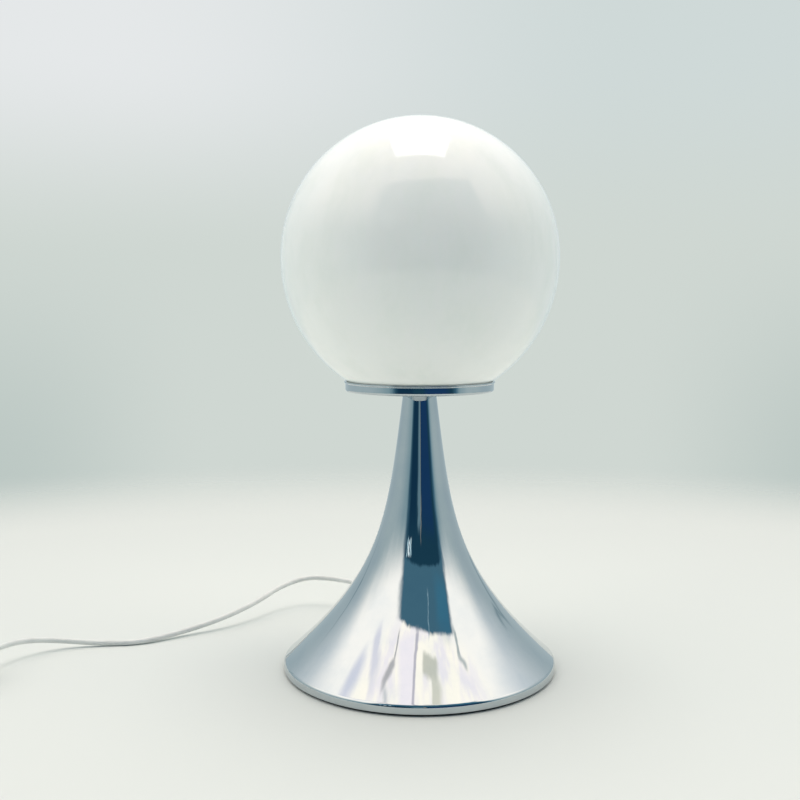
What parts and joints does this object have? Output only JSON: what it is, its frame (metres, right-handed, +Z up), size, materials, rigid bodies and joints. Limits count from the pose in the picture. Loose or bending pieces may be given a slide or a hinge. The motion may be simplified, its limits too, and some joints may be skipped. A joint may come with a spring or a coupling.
{
  "type": "globe table lamp",
  "caption": "Table lamp with an opal glass globe resting in a shallow dish on a flared trumpet base, with an inline switch and a plug on its flex.",
  "frame": {"origin": "on the table, under the centre of the base, at the underside of the felt", "axes": "+Z up along the lamp's axis; -Y is the front; the flex leaves at the back, to the left"},
  "size_m": [0.6149, 0.322, 0.501],
  "materials": {
    "chrome": "polished",
    "opal_glass": "glossy",
    "clear_glass": "clear",
    "black_paint": "satin",
    "felt": "napped",
    "iron": "cast",
    "zinc_steel": "zinc plated",
    "brass": "bright",
    "bulb_cap_metal": "satin",
    "solder": "satin",
    "black_glass": "glossy",
    "filament_wire": "drawn",
    "white_rubber": "moulded",
    "white_flex": "extruded",
    "core_sheath": "extruded",
    "black_moulding": "moulded",
    "ceramic": "glazed",
    "white_moulding": "moulded",
    "nickel": "nickel plated"
  },
  "bodies": {
    "root": {"trumpet_base": "chrome", "base_plate": "black_paint", "felt_pad": "felt", "ballast_disc": "iron", "ballast_nut": "zinc_steel", "stem_tube": "zinc_steel", "stem_lower_nut": "zinc_steel", "stem_lower_washer": "zinc_steel", "cord_boot": "white_rubber", "cord_clamp": "zinc_steel", "cord_clamp_screws": "zinc_steel", "inner_flex": "white_flex", "gallery_dish": "chrome", "stem_upper_washer": "zinc_steel", "stem_upper_nut": "zinc_steel", "globe_gasket": "white_rubber", "holder_cap": "black_moulding", "holder_body": "black_moulding", "holder_insert": "ceramic", "terminal_screws": "brass", "screw_contact": "nickel", "centre_contact": "brass", "core_wires": "core_sheath", "supply_cord": "white_flex", "cord_coil": "white_flex", "switch_tail_cord": "white_flex", "plug_tail_cord": "white_flex", "switch_lower_shell": "white_moulding", "switch_upper_shell": "white_moulding", "switch_contacts": "brass", "switch_flex_ends": "white_flex", "switch_cores": "core_sheath", "switch_screws": "zinc_steel", "plug_body": "white_moulding", "plug_pins": "nickel", "plug_pin_sleeves": "black_moulding"},
    "globe": {"glass_globe": "opal_glass"},
    "bulb_foot": {"bulb_tip": "solder"},
    "bulb": {"bulb_glass": "clear_glass", "bulb_cap": "bulb_cap_metal", "bulb_insulator": "black_glass", "bulb_mount": "clear_glass", "bulb_filament": "filament_wire"},
    "rocker": {"switch_rocker": "white_moulding", "switch_bridge": "brass"}
  },
  "joints": [
    {"name": "globe_lift", "type": "slide", "parent": "root", "child": "globe", "axis": [0, 0, 1], "range_m": [0, 0.16]},
    {"name": "bulb_rise", "type": "slide", "parent": "root", "child": "bulb_foot", "axis": [0, 0, 1], "range_m": [0, 0.01815]},
    {"name": "bulb_turn", "type": "hinge", "parent": "bulb_foot", "child": "bulb", "pos_m": [0, 0, 0.3], "axis": [0, 0, 1], "range_deg": [0, 1800]},
    {"name": "switch_tip", "type": "hinge", "parent": "root", "child": "rocker", "pos_m": [-0.4035, -0.0705, 0.0268], "axis": [-0.9487, 0.3162, 0], "range_deg": [0, 13]}
  ],
  "couplings": [
    {"joint": "bulb_rise", "follows": "bulb_turn", "m_per_rad": 0.0005775}
  ]
}
